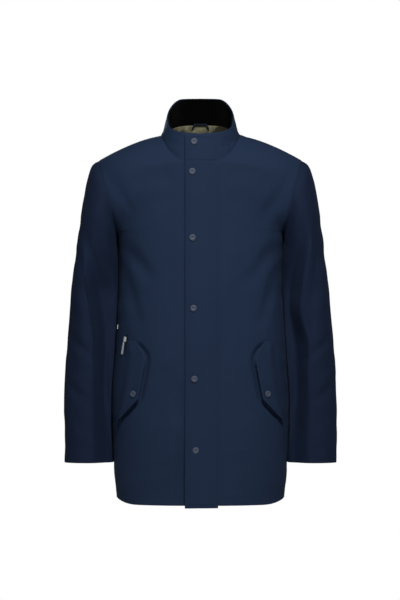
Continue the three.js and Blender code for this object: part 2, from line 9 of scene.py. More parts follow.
import bpy
import numpy as np
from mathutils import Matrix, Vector


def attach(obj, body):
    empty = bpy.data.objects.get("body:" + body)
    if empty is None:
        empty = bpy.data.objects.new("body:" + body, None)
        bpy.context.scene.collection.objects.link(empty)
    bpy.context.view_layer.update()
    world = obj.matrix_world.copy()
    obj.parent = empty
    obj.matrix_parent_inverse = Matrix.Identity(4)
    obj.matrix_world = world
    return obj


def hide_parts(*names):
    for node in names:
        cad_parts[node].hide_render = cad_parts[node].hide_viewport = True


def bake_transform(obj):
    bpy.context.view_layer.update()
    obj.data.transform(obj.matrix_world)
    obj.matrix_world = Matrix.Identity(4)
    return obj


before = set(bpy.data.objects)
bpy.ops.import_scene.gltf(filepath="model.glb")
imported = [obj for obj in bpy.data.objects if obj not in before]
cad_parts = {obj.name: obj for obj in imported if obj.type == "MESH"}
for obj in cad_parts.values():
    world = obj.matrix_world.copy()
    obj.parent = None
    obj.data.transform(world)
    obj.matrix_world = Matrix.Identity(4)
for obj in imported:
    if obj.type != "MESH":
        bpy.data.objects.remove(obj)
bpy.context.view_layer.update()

MM = 0.001
PI = math.pi

# ---- Driving dimensions of the form, millimetres ----
HEM_Z = -806
HEM_LIFT = 12
NECK_X, NECK_Z = 86, -2
NECK_FRONT = {"y": 103, "z": -62, "turn": 0.55, "power": 3}
NECK_BACK = {"y": 70, "z": 15, "turn": 0.7, "power": 2.4}
SHOULDER_X, SHOULDER_Z = 222, -55
ARMPIT_X, ARMPIT_Z = 180, -216
ARMHOLE_HALF_DEPTH = 68
V_ARMPIT = 0.6
CLOTH = 2.0
TURNED = (-4.2, -5.4)      # how far in a facing's outer and inner sides lie
CENTRE_GAP = 7
COLLAR_X, COLLAR_MID_Y, COLLAR_DEPTH = 73, -17, 83
COLLAR_FRONT_Z, COLLAR_BACK_Z = -1, 84
PLACKET = {"free": -33, "sewn": 38, "top": -2, "bottom": -811}
SLEEVE_GAP = 3
CUFF_Z = -718
LEVEL_V, LEVEL_Z = 0.3, -244
SNAPS = [(-13.5, -18.5), (-17.7, -83.5), (-17, -227), (-15, -380), (-13, -533), (-10, -687)]
SNAP_R, SNAP_H, STUD_R, STUD_H = 7.4, 2.6, 5.0, 2.7
FLAP_SNAP = (142, -566)
FLAP_EDGE = [(-622, 172), (-577, 132), (-492, 116), (-478, 119), (-451, 139)]
FLAP_TOP, FLAP_BOTTOM = -451, -622
FLAP_SEWN_TOP_X, FLAP_SEWN_BOTTOM_X = 157, 177
POCKET_ZIP_TOP, POCKET_ZIP_LOW = (163, -443), (187, -603)
SIDES = ((1, "left"), (-1, "right"))
FINE = 4.0       # grid step of the outer cloth
COARSE = 8.0     # grid step of linings and facings


# ---- Maths ----
def lerp(a, b, t):
    return a + (b - a) * t


def smooth(t):
    t = np.clip(t, 0, 1)
    return t * t * (3 - 2 * t)


def bell(t):
    """1 at 0, falling smoothly to 0 at -1 and 1."""
    return 1 - smooth(np.abs(t))


def length_of(vectors):
    return np.linalg.norm(vectors, axis=-1)


def profile(points):
    """A smooth curve value(x) through (x, value) points, given with x rising."""
    xs, ys = np.array(points, float).T
    order = np.arange(len(xs))
    before, after = np.maximum(order - 1, 0), np.minimum(order + 1, len(xs) - 1)
    slopes = (ys[after] - ys[before]) / (xs[after] - xs[before])

    def value(x):
        i = np.clip(np.searchsorted(xs, x) - 1, 0, len(xs) - 2)
        h = xs[i + 1] - xs[i]
        t = np.clip((x - xs[i]) / h, 0, 1)
        bend = h * t * (1 - t) * (slopes[i] * (1 - t) - slopes[i + 1] * t)
        return ys[i] + (ys[i + 1] - ys[i]) * t * t * (3 - 2 * t) + bend

    return value


def waves(seed, count, shortest, longest):
    """A soft uneven field of (a, b) in millimetres, about -1 to 1: waves of several lengths and ways."""
    rng = np.random.default_rng(seed)
    way = rng.uniform(0, PI, count)
    number = 2 * PI / rng.uniform(shortest, longest, count)
    phase = rng.uniform(0, 2 * PI, count)

    def field(a, b):
        total = sum(np.sin(k * (a * math.cos(w) + b * math.sin(w)) + p)
                    for k, w, p in zip(number, way, phase))
        return total / math.sqrt(count)

    return field


# ---- The jacket's form ----
side_x = profile([(HEM_Z, 184), (-722, 190), (-583, 194), (-480, 187), (-353, 180), (ARMPIT_Z, ARMPIT_X)])
back_y = profile([(HEM_Z, 138), (-600, 128), (-400, 118), (-250, 124), (-130, 121), (-50, 103),
                  (NECK_BACK["z"], NECK_BACK["y"])])


def front_y(z):
    return -(100 - 0.0475 * z)


def neck_of(face):
    return NECK_FRONT if face == "front" else NECK_BACK


def row_end(face, v):
    """A torso row's end, at the side seam or on the armhole's edge."""
    z = lerp(HEM_Z, ARMPIT_Z, v / V_ARMPIT)
    turn = PI * np.clip((v - V_ARMPIT) / (1 - V_ARMPIT), 0, 1)
    rise = (1 - np.cos(turn)) / 2
    low = v <= V_ARMPIT
    out = -1 if face == "front" else 1
    return (np.where(low, side_x(z), lerp(ARMPIT_X, SHOULDER_X, rise)),
            out * ARMHOLE_HALF_DEPTH * np.sin(turn),
            np.where(low, z, lerp(ARMPIT_Z, SHOULDER_Z, rise)))


def reach(face, share):
    """How far forward or back a neck ring goes at a share of its half width: squarer in front."""
    power = neck_of(face)["power"]
    return np.maximum(0, 1 - share ** power) ** (1 / power)


def neckline(face, angle):
    neck = neck_of(face)
    across = np.clip(np.sin(angle), 0, 1)
    out = -1 if face == "front" else 1
    return (NECK_X * across, out * neck["y"] * reach(face, across),
            lerp(NECK_Z, neck["z"], 1 - across ** 3.5))


def row_start(face, v):
    """A torso row's start, on the centre line or on the neckline."""
    neck = neck_of(face)
    centre_y = front_y if face == "front" else back_y
    part = (v - V_ARMPIT) / (1 - V_ARMPIT)
    z = np.where(v <= V_ARMPIT, lerp(HEM_Z, ARMPIT_Z, v / V_ARMPIT),
                 lerp(ARMPIT_Z, neck["z"], part / neck["turn"]))
    on_neck = part > neck["turn"]
    nx, ny, nz = neckline(face, np.clip((part - neck["turn"]) / (1 - neck["turn"]), 0, 1) * PI / 2)
    return np.where(on_neck, nx, 0), np.where(on_neck, ny, centre_y(z)), np.where(on_neck, nz, z)


def torso_patch(side, face, u, v):
    """A point of the torso: u runs from the centre to the side, v from the hem to the shoulder."""
    sx, sy, sz = row_start(face, v)
    ex, ey, ez = row_end(face, v)
    opened = smooth((v - V_ARMPIT) / 0.14)
    angle = np.clip(u, 0, 1) * PI / 2
    across = lerp(np.sin(angle) ** 0.83, u, opened)
    back = lerp(np.maximum(0, np.cos(angle)) ** 0.83, 1 - u ** 2.5, opened)
    lift = HEM_LIFT * smooth((u - 0.5) / 0.5) * (1 - np.clip(v / 0.06, 0, 1))
    lap = 0.15 if face == "front" else -0.15
    return np.stack([side * lerp(sx, ex, across), lerp(ey, sy, back) + lap,
                     lerp(sz, ez, np.maximum(across, 0) ** 1.45) + lift], -1)


def torso(side, face, u, v):
    """The torso with the bends at the armpit and at the start of the neckline softened."""
    turn = lerp(V_ARMPIT, 1, neck_of(face)["turn"])
    soft = np.maximum(bell((v - V_ARMPIT) / 0.07), bell((v - turn) / 0.07)) * smooth((0.97 - u) / 0.12)
    taps = ((-1, 0.15), (-0.5, 0.22), (0, 0.26), (0.5, 0.22), (1, 0.15))
    return sum(w * torso_patch(side, face, u, np.clip(v + 0.032 * d * soft, 0, 1)) for d, w in taps)


def u_at(face, v, x):
    """The u at which torso rows reach the distance x from the centre."""
    v, x = np.broadcast_arrays(np.asarray(v, float), x)
    low, high = np.zeros(v.shape), np.ones(v.shape)
    for _ in range(24):
        mid = (low + high) / 2
        short = torso_patch(1, face, mid, v)[..., 0] < x
        low, high = np.where(short, mid, low), np.where(short, high, mid)
    return low


def v_at(z):
    return V_ARMPIT * (z - HEM_Z) / (ARMPIT_Z - HEM_Z)


def on_front(side, x, z):
    v = v_at(z) + 0 * x
    return torso(side, "front", u_at("front", v, x), v)


collar_rise = profile([(0, 0), (30, 0.02), (60, 0.13), (75, 0.24), (90, 0.42), (120, 0.81), (137, 0.955),
                       (152, 0.99), (180, 1)])


def collar_point(turn, height):
    """turn runs 0 to 1 from the centre front round the wearer's left and the back to the front."""
    side = np.where(turn < 0.5, 1, -1)
    angle = np.minimum(turn, 1 - turn) * 2 * PI
    in_front = angle < PI / 2
    share = np.clip(np.sin(angle), 0, 1)
    rings = zip(neckline("front", angle), neckline("back", PI - angle))
    bx, by, bz = (np.where(in_front, f, b) for f, b in rings)
    out = np.where(in_front, reach("front", share), -reach("back", share))
    top_y = COLLAR_MID_Y - COLLAR_DEPTH * out
    top_z = lerp(COLLAR_FRONT_Z, COLLAR_BACK_Z, collar_rise(angle * 180 / PI))
    return np.stack([side * lerp(bx, COLLAR_X * share, height), lerp(by, top_y, height),
                     lerp(bz + 2.2, top_z + 0.8, height)], -1)


def front_strip(x, z):
    """The centre front as one strip: torso below the neckline, collar above it."""
    side, width = np.where(x < 0, -1, 1), np.abs(x)
    neck = NECK_FRONT
    upper = lerp(V_ARMPIT, 1, neck["turn"] * (z - ARMPIT_Z) / (neck["z"] - ARMPIT_Z))
    v = np.clip(np.where(z <= ARMPIT_Z, v_at(z), np.minimum(upper, lerp(V_ARMPIT, 1, neck["turn"]))), 0, 1)
    body = torso(side, "front", u_at("front", v, width), v)
    height = np.clip((z - neck["z"]) / (COLLAR_FRONT_Z - neck["z"]), 0, 1.05)
    band = collar_point(np.arcsin(np.clip(width / lerp(NECK_X, COLLAR_X, height), 0, 1)) / (2 * PI), height)
    return np.stack([x + 0 * z, np.where(z <= neck["z"], body[..., 1], band[..., 1]), z + 0 * x], -1)


outer_x = profile([(CUFF_Z, 297), (-575, 297), (-506, 294), (-419, 288), (-331, 281), (LEVEL_Z, 270)])
sleeve_depth = profile([(0, ARMHOLE_HALF_DEPTH), (0.3, 73), (0.55, 66), (0.8, 52), (1, 45)])
crown_x = profile([(0, SHOULDER_X), (0.2, 237), (0.4, 246), (0.6, 254), (0.8, 262), (1, 270)])
crown_z = profile([(0, SHOULDER_Z), (0.2, -69), (0.4, -95), (0.6, -134), (0.8, -186), (1, LEVEL_Z)])


# The empty sleeve is full at its outer side and falls back next to the torso: where that step starts
# round the sleeve, how wide it is, and how far back it goes, against height.
step_from = profile([(-718, 0.27), (-660, 0.28), (-527, 0.28), (-449, 0.27), (-381, 0.23), (-285, 0.15),
                     (-231, 0.08)])
step_width = profile([(-718, 0.15), (-660, 0.13), (-527, 0.11), (-390, 0.10), (-250, 0.11)])
step_depth = profile([(-718, 0.6), (-660, 0.8), (-527, 0.9), (-390, 0.9), (-330, 0.75), (-250, 0.28),
                      (-190, 0.04), (-140, 0), (-100, 0)])


def sleeve_point(side, u, v):
    """A sleeve's rings: u 0 is the outer side, 0.25 the front and 0.5 the side next to the torso."""
    t = np.clip(v / LEVEL_V, 0, 1)
    z = lerp(LEVEL_Z, CUFF_Z, (v - LEVEL_V) / (1 - LEVEL_V))
    turning = v <= LEVEL_V
    out_x, out_z = np.where(turning, crown_x(t), outer_x(z)), np.where(turning, crown_z(t), z)
    in_x = np.where(turning, lerp(ARMPIT_X, side_x(LEVEL_Z) + SLEEVE_GAP, t), side_x(z) + SLEEVE_GAP)
    in_z = np.where(turning, lerp(ARMPIT_Z, LEVEL_Z, t ** 1.3), z)
    angle = 2 * PI * u
    swing = (1 + np.cos(angle)) / 2
    forward = -16 * smooth((v - 0.2) / 0.8)
    sewn = lerp(-1.2, 1.4, smooth(v / 0.03))
    height = lerp(in_z, out_z, swing)
    around = u % 1
    start = step_from(height) + (0.09 if side > 0 else 0) * smooth((height + 470) / 120)
    fallen = smooth((around - start) / step_width(height)) * smooth((0.5 - around) / 0.04 + 0.5)
    bulge = np.sin(angle) * (1 - step_depth(height) * fallen)
    x, y = lerp(in_x, out_x, swing) + sewn, forward - sleeve_depth(v) * bulge
    # Behind the side seam the sleeve follows the back of the torso.
    depth = np.where(y > 0, back_y(height), -front_y(height))
    beside = side_x(height) * (1 - np.clip(np.abs(y) / depth, 0, 0.9) ** 2.41) ** 0.415
    beside = beside - 2.4 * smooth(y / 16) + 1.2
    follow = smooth((around - 0.47) / 0.06) * smooth((0.76 - around) / 0.09) * smooth((-211 - height) / 9)
    return np.stack([side * lerp(x, np.minimum(x, beside), follow), y, height], -1)


def flap_edge_x(z):
    zs, xs = np.array(FLAP_EDGE, float).T
    return np.interp(z, zs, xs)


def sewn_edge_x(z):
    return lerp(FLAP_SEWN_BOTTOM_X, FLAP_SEWN_TOP_X, (z - FLAP_BOTTOM) / (FLAP_TOP - FLAP_BOTTOM))


# ---- Folds, in millimetres along the outward normal ----
torso_swell = waves(3, 9, 110, 260)
torso_ripple = waves(11, 12, 38, 90)


def to_segment(x, z, a, b):
    """Distance to the line from a to b, and how far along it the nearest point is, from 0 to 1."""
    dx, dz = b[0] - a[0], b[1] - a[1]
    t = np.clip(((x - a[0]) * dx + (z - a[1]) * dz) / (dx * dx + dz * dz), 0, 1)
    return np.hypot(x - a[0] - t * dx, z - a[1] - t * dz), t


def crease(x, z, a, b, width, depth):
    """A valley from a to b that fades at both ends."""
    distance, t = to_segment(x, z, a, b)
    return -depth * bell(distance / width) * np.sin(PI * np.clip(t, 0.02, 0.98))


def at_seams(face, u, v):
    """Folds end at the shoulder seam and at the neckline, where the cloth is sewn to the next piece."""
    turn = lerp(V_ARMPIT, 1, neck_of(face)["turn"])
    return smooth((1.0 - v) / 0.05) * np.maximum(smooth((turn - v) / 0.05), smooth(np.abs(u) / 0.18))


def front_fold(points, u, v):
    x, z = points[..., 0], points[..., 2]
    wide = np.abs(x)
    fold = 1.5 * torso_swell(x, z) + 0.55 * torso_ripple(x, z)
    fold *= smooth((wide - 42) / 30) * smooth((z - HEM_Z) / 60 + 0.35)
    for side in (1, -1):
        sx = side * x
        fold = fold + crease(sx, z, (176, -232), (96, -330), 26, 5.2)
        fold = fold + crease(sx, z, (178, -262), (128, -430), 20, 3.8)
        fold = fold + crease(sx, z, (196, -92), (120, -214), 24, 3.4)
        fold = fold + crease(sx, z, (100, -40), (150, -150), 20, 1.5)
        free = np.where((z < FLAP_TOP) & (z > FLAP_BOTTOM), flap_edge_x(z), 400)
        ends = smooth((FLAP_TOP - z) / 14) * smooth((z - FLAP_BOTTOM) / 14)
        fold = fold - 5.6 * bell((sx - free - 1) / 11) * ends
    fold = fold + crease(x, z, (-42, -530), (-54, -640), 15, 5.0)
    fold = fold - 2.6 * bell((x - PLACKET["free"] + 2) / 9) * smooth((-70 - z) / 30)
    fold = fold - 5.6 * bell((x + 45) / 20) * smooth((-620 - z) / 120)
    near_zip, _ = to_segment(-x, z, POCKET_ZIP_TOP, POCKET_ZIP_LOW)
    still = np.where(x < 0, smooth((near_zip - 11) / 16), 1) * smooth((1.0 - u) / 0.05)
    return np.clip(fold, -8.5, 1.0) * still * at_seams("front", u, v)


def back_fold(points, u, v):
    x, z = points[..., 0], points[..., 2]
    low = smooth((-300 - z) / 420)
    pleats = np.cos(2 * PI * x / 122 + 0.9 * np.sin(z / 160)) - 1
    fold = 1.8 * torso_swell(x + 400, z) + 0.6 * torso_ripple(x, z + 90) + 2.0 * low * pleats
    for side in (1, -1):
        fold = fold + crease(side * x, z, (170, -240), (60, -330), 30, 3.0)
        fold = fold + crease(side * x, z, (150, -120), (60, -90), 28, 2.2)
    hollow = 3.8 * smooth((1 - np.abs(u)) / 0.05) * smooth((np.abs(u) - 0.7) / 0.1) * smooth((-213 - z) / 14)
    fold = lerp(np.clip(fold, -7, 1.2), -hollow, smooth((np.abs(u) - 0.7) / 0.12))
    return fold * smooth((1.0 - np.abs(u)) / 0.05) * at_seams("back", u, v)


sleeve_swell = waves(21, 8, 120, 300)
sleeve_ripple = waves(5, 12, 34, 80)
fold_line = profile([(-718, 0.5), (-673, 0.47), (-600, 0.43), (-549, 0.39), (-471, 0.312), (-384, 0.244),
                     (-300, 0.17), (-250, 0.135), (-160, 0.10)])


def sleeve_fold(points, u, v):
    x, y, z = points[..., 0], points[..., 1], points[..., 2]
    around = np.where(u % 1 > 0.75, u % 1 - 1, u % 1)
    girth = 215.0
    long_fold = (bell((around - fold_line(z)) * girth / 19) * smooth((-170 - z) / 110)
                 * smooth((z + 735) / 120))
    back = bell((around - 0.66) * girth / 22) * smooth((-260 - z) / 120)
    elbow = crease(around * girth, z, (10, -430), (70, -500), 14, 3.2)
    elbow = elbow + crease(around * girth, z, (0, -520), (60, -590), 15, 2.6)
    head = crease(around * girth, z, (60, -120), (92, -235), 16, 3.4)
    fold = 1.3 * sleeve_swell(around * girth + x, z) + 0.8 * sleeve_ripple(around * girth, z)
    fold = np.clip(fold - 5 * long_fold - 5 * back + elbow + head, -9, 1.0)
    beside = bell((around - 0.58) / 0.16)
    return fold * (1 - beside) * smooth(v / 0.05) * lerp(0.4, 1, smooth((0.995 - v) / 0.06))


def collar_fold(points, u, v):
    x, z = points[..., 0], points[..., 2]
    turn = np.minimum(u, 1 - u)
    soft = 1.1 * torso_ripple(turn * 560 + 30, z * 1.4) * smooth((turn - 0.06) / 0.05)
    creases = crease(np.abs(x), z, (78, -34), (52, -6), 9, 2.6) * (u < 0.3)
    creases = creases + crease(np.abs(x), z, (64, -50), (46, -20), 8, 1.8) * (u < 0.3)
    return np.clip(soft + creases * smooth((turn - 0.05) / 0.04), -2.6, 0.7) * smooth(v / 0.25)


def placket_fold(points, u, v):
    """The free edge stands away a little, most of all towards the hem, and dips at the snaps below the
    zip's tab. A groove crosses the placket at its double row of stitches."""
    z = points[..., 2]
    edge = smooth((0.55 - u) / 0.55)
    below_tab = smooth((-90 - z) / 60)
    stand = 6.2 * smooth((-600 - z) / 170) + (0.5 * np.sin(z / 26) + 0.4 * np.sin(z / 57 + 1)) * below_tab
    dips = sum(bell((z - sz) / 26) for _, sz in SNAPS)
    return (stand - 0.5 * dips * below_tab) * edge - 0.5 * bell((z + 62) / 3.5)


def flap_fold(points, u, v):
    z = points[..., 2]
    snap = bell((z - FLAP_SNAP[1]) / 30) * bell((u - 0.3) / 0.5)
    lifted = 1.6 * np.sin(PI * np.clip(u, 0, 1)) + 2.6 * smooth((0.5 - u) / 0.5) - 0.9 * snap
    return lifted * smooth((1 - v) / 0.16)


# ---- Forms: a surface with its normal and folds ----
class Form:
    """A surface of (u, v) with an outward sense, folds, and the range in which u and v may lie."""

    step = 0.004

    def __init__(self, surface, sign, fold=None, low=0.0, ring=False, open_from=None):
        self.surface, self.sign, self.fold, self.low, self.ring = surface, sign, fold, low, ring
        self.open_from = open_from    # the v above which the form is in two halves, either side of u 0

    def normal(self, u, v):
        step, low, high = self.step, self.low, 1.0
        if self.open_from is not None:
            # Rows meet the neckline at a flat angle, so the normal is taken a little way in.
            inset = 0.15 * smooth((v - self.open_from + 0.04) / 0.03)
            u = np.where(u >= 0, np.maximum(u, inset), np.minimum(u, -inset))
        before, after = u - step, u + step
        if not self.ring:
            before, after = np.maximum(low, before), np.minimum(high, after)
        if self.open_from is not None:
            before = np.where(u >= 0, np.maximum(before, 0), before)
            after = np.where(u < 0, np.minimum(after, -1e-7), after)
        du = self.surface(after, v) - self.surface(before, v)
        dv = self.surface(u, v + step) - self.surface(u, v - step)
        normal = np.cross(du, dv) * self.sign
        return normal / np.maximum(length_of(normal)[..., None], 1e-9)

    def skin(self, u, v, offset=0.0):
        """Points at that offset outside the surface, folds included, and the normals there."""
        u, v = np.broadcast_arrays(np.asarray(u, float), np.asarray(v, float))
        points, normal = self.surface(u, v), self.normal(u, v)
        shift = self.fold(points, u, v) if self.fold else 0.0
        return points + normal * (np.asarray(offset) + shift + 0 * u)[..., None], normal


def spaced(step, length):
    """Values from 0 to 1 about a step apart over that length, with one more close to each end."""
    count = max(2, round(length / step))
    return np.sort(np.append(np.linspace(0, 1, count + 1), [0.22 / count, 1 - 0.22 / count]))


def quads_of(index):
    return np.stack([index[:-1, :-1], index[:-1, 1:], index[1:, 1:], index[1:, :-1]], -1).reshape(-1, 4)


def mesh_object(name, vertices, faces, uvs=None):
    """An object from vertices in millimetres."""
    mesh = bpy.data.meshes.new(name)
    mesh.from_pydata((np.asarray(vertices) * MM).tolist(), [], [tuple(f) for f in np.asarray(faces).tolist()]
                     if isinstance(faces, np.ndarray) else faces)
    if uvs is not None:
        layer = mesh.uv_layers.new(name="UVMap")
        layer.data.foreach_set("uv", (np.asarray(uvs) * MM).ravel())
    mesh.shade_smooth()
    mesh.update()
    obj = bpy.data.objects.new(name, mesh)
    bpy.context.scene.collection.objects.link(obj)
    return obj


def cloth(name, form, v, outer, inner, material, start=0.0, end=1.0, step=FINE):
    """A closed layer of cloth between two offsets of a form, with rolled edges and UVs in real size.
    start and end give each row's u range, as numbers or functions of v."""
    v = np.asarray(v, float)
    first = start(v) if callable(start) else np.full(v.shape, start)
    last = end(v) if callable(end) else np.full(v.shape, end)
    middle = len(v) // 2
    probe = form.surface(np.linspace(first[middle], last[middle], 60), np.full(60, v[middle]))
    across = spaced(step, length_of(np.diff(probe, axis=0)).sum())
    if form.ring:
        across = np.linspace(0, 1, len(across) - 1)
    if form.open_from is not None:
        across = np.sort(np.append(across, 0.5 - 1e-5))
    u2 = first[:, None] + (last - first)[:, None] * across[None, :]
    v2 = v[:, None] + 0 * u2
    top, low = (offset(u2, v2) if callable(offset) else offset + 0 * u2 for offset in (outer, inner))
    roll = np.zeros(u2.shape)
    roll[[0, -1], :] = 1
    if not form.ring:
        roll[:, [0, -1]] = 1
    # The open neck: the row it starts from, and the column of cells between the form's two halves.
    hole = len(v), 0
    if form.open_from is not None and v[-1] > form.open_from:
        hole = np.searchsorted(v, form.open_from - 1e-6), np.searchsorted(across, 0.5 - 1e-6) - 1
        roll[hole[0]:, hole[1]:hole[1] + 2] = 1
    thick = top - low
    outside, _ = form.skin(u2, v2, top - 0.3 * thick * roll)
    inside, _ = form.skin(u2, v2, low + 0.3 * thick * roll)
    along_u, along_v = (np.cumsum(length_of(np.diff(outside, axis=axis)), axis=axis) for axis in (1, 0))
    along_u = np.concatenate([np.zeros((len(v), 1)), along_u], 1)
    along_v = np.concatenate([np.zeros((1, u2.shape[1])), along_v], 0)
    uv = np.stack([along_u - along_u[:, -1:] / 2, along_v], -1).reshape(-1, 2)
    rows, columns = u2.shape
    index = np.arange(rows * columns).reshape(rows, columns)
    back = index + rows * columns
    kept = np.ones((rows - 1, columns - 1), bool)
    r, k = hole
    kept[r:, k] = False
    faces = [quads_of(index)[kept.ravel()], quads_of(back)[kept.ravel(), ::-1]]
    walls = [(index[0, 1:], index[0, :-1]), (index[-1, :-1][kept[-1]], index[-1, 1:][kept[-1]])]
    if r < rows:
        walls += [(index[r, k:k + 1], index[r, k + 1:k + 2]), (index[r + 1:, k], index[r:-1, k]),
                  (index[r:-1, k + 1], index[r + 1:, k + 1])]
    for a, b in walls:
        faces.append(np.stack([a, b, b + rows * columns, a + rows * columns], -1))
    if not form.ring:
        for a, b in ((index[:-1, 0], index[1:, 0]), (index[1:, -1], index[:-1, -1])):
            faces.append(np.stack([a, b, b + rows * columns, a + rows * columns], -1))
    faces = np.concatenate(faces)
    uvs = np.concatenate([uv, uv])[faces]
    vertices = np.concatenate([outside.reshape(-1, 3), inside.reshape(-1, 3)])
    if form.ring:
        weld = np.where(np.arange(columns) == columns - 1, 0, np.arange(columns))
        weld = (np.arange(2 * rows)[:, None] * columns + weld[None, :]).ravel()
        faces = weld[faces]
        used, faces = np.unique(faces, return_inverse=True)
        vertices, faces = vertices[used], faces.reshape(-1, 4)
    a, b, c = (vertices[faces[:, i]] for i in range(3))
    if np.einsum("ij,ij->i", a, np.cross(b, c)).sum() < 0:
        faces, uvs = faces[:, ::-1], uvs[:, ::-1]
    obj = mesh_object(name, vertices, faces, uvs)
    obj.data.materials.append(material)
    base = form.surface(u2, v2)
    sides = length_of(np.diff(base, axis=1)).sum(1), length_of(np.diff(base, axis=0)).sum(0)
    cells = quads_of(index)[kept.ravel()]
    flat = base.reshape(-1, 3)
    p, q, r2, t = (flat[cells[:, i]] for i in range(4))
    area = length_of(np.cross(r2 - p, t - q)).sum() / 2
    obj["cut"] = [float(sides[0].max() * MM), float(sides[1].max() * MM), float(area * MM * MM)]
    return obj


def sheet(obj):
    """Reads the size of a cloth piece's unfolded cut and hands the piece back unchanged."""
    width, length, area = obj["cut"]
    area = min(area, width * length)
    return obj


# ---- Materials ----
class Look:
    """A node material. node() adds a node and sets its sockets, which may be given other nodes' sockets."""

    def __init__(self, name, **sockets):
        self.material = bpy.data.materials.new(name)
        self.material.use_nodes = True
        self.tree = self.material.node_tree
        self.shader = self.tree.nodes["Principled BSDF"]
        self.fill(self.shader, sockets)

    def fill(self, node, sockets):
        for key, value in sockets.items():
            socket = node.inputs[int(key[1:]) if key[0] == "_" else key.replace("_", " ")]
            if isinstance(value, bpy.types.NodeSocket):
                self.tree.links.new(value, socket)
            else:
                socket.default_value = value

    def node(self, kind, output=0, props=(), **sockets):
        node = self.tree.nodes.new("ShaderNode" + kind)
        for key, value in dict(props).items():
            setattr(node, key, value)
        self.fill(node, sockets)
        return node.outputs[output]

    def blend(self, factor, dark, light):
        return self.node("Mix", 2, {"data_type": "RGBA"}, _0=factor, _6=(*dark, 1), _7=(*light, 1))

    def blend_into(self, factor, base, light, mode="MIX"):
        return self.node("Mix", 2, {"data_type": "RGBA", "blend_type": mode}, _0=factor, _6=base,
                         _7=(*light, 1))

    def math(self, operation, a, b):
        return self.node("Math", 0, {"operation": operation}, _0=a, _1=b)

    def bump(self, height, distance, strength=1.0, under=None):
        sockets = {"Height": height, "Distance": distance, "Strength": strength}
        if under is not None:
            sockets["Normal"] = under
        return self.node("Bump", 0, (), **sockets)

    def uv(self):
        return self.node("UVMap", 0, {"uv_map": "UVMap"})

    def place(self):
        return self.node("TexCoord", 3)


WAVE_PERIOD = PI / 10    # the wave texture's period at scale 1


def weave(look, pitch):
    """Height of a plain weave of that pitch in metres."""
    threads = [look.node("TexWave", 1, {"bands_direction": way}, Vector=look.uv(), Scale=WAVE_PERIOD / pitch)
               for way in ("X", "Y")]
    return look.math("MAXIMUM", *threads)


def cloth_look(name, dark, light, pitch=0.0009, bump=0.00012, rough=0.78, sheen=0.02, melange=0.3,
               rumple=0.0008):
    look = Look(name, Roughness=rough, Specular_IOR_Level=0.07, Sheen_Weight=sheen, Sheen_Roughness=0.45,
                Sheen_Tint=(0.45, 0.6, 1.0, 1))
    broad = look.node("TexNoise", 0, (), Vector=look.place(), Scale=7.0, Detail=3.0)
    grain = look.node("TexNoise", 0, (), Vector=look.uv(), Scale=900.0, Detail=2.0)
    threads = weave(look, pitch)
    tone = look.blend(broad, dark, light)
    mottled = look.blend_into(look.math("MULTIPLY", grain, melange), tone, [c * 1.9 + 0.004 for c in light])
    look.fill(look.shader, {"Base Color": mottled})
    soft = look.node("TexNoise", 0, (), Vector=look.place(), Scale=34.0, Detail=4.0, Roughness=0.55)
    under = look.bump(soft, rumple, 0.5)
    look.fill(look.shader, {"Normal": look.bump(threads, bump, 0.6, under)})
    return look.material


def metal_look(name, colour, rough, metallic=1.0, coat=0.0):
    look = Look(name, Metallic=metallic, Coat_Weight=coat, Coat_Roughness=0.2)
    wear = look.node("TexNoise", 0, (), Vector=look.place(), Scale=260.0, Detail=5.0)
    scuffs = look.node("TexNoise", 0, (), Vector=look.place(), Scale=40.0, Detail=2.0)
    look.fill(look.shader, {
        "Base Color": look.blend(wear, [c * 0.82 for c in colour], [min(1, c * 1.15) for c in colour]),
        "Roughness": look.math("ADD", look.math("MULTIPLY", scuffs, 0.2), rough - 0.1),
        "Normal": look.bump(wear, 0.00003, 0.4),
    })
    return look.material


def pile_look():
    """A dense pile in narrow upright ribs."""
    look = Look("collar_pile", Roughness=0.95, Specular_IOR_Level=0.01, Sheen_Weight=0.01,
                Sheen_Roughness=0.6)
    ribs = look.node("TexWave", 1, {"bands_direction": "X"}, Vector=look.uv(), Scale=WAVE_PERIOD / 0.0028)
    fluff = look.node("TexNoise", 0, (), Vector=look.uv(), Scale=700.0, Detail=4.0)
    # The rib tops are painted lighter and the grooves between them darker: painted shade, mixed with the
    # fluff's random tone.
    tone = look.blend(look.math("MULTIPLY", ribs, fluff), (0.0002, 0.0002, 0.0003), (0.0018, 0.0018, 0.0022))
    look.fill(look.shader, {"Base Color": tone})
    under = look.bump(ribs, 0.0006, 0.8)
    look.fill(look.shader, {"Normal": look.bump(fluff, 0.0003, 0.6, under)})
    return look.material


def lining_look():
    look = Look("lining", Roughness=0.7, Specular_IOR_Level=0.2, Sheen_Weight=0.1, Sheen_Roughness=0.4)
    patches = look.node("TexNoise", 0, (), Vector=look.place(), Scale=26.0, Detail=3.0, Distortion=0.6)
    sharper = look.node("MapRange", 0, (), Value=patches, From_Min=0.42, From_Max=0.6)
    tone = look.blend(sharper, (0.012, 0.012, 0.006), (0.13, 0.125, 0.07))
    look.fill(look.shader, {"Base Color": tone})
    under = look.bump(patches, 0.003, 0.5)
    look.fill(look.shader, {"Normal": look.bump(weave(look, 0.0007), 0.00005, 0.5, under)})
    return look.material


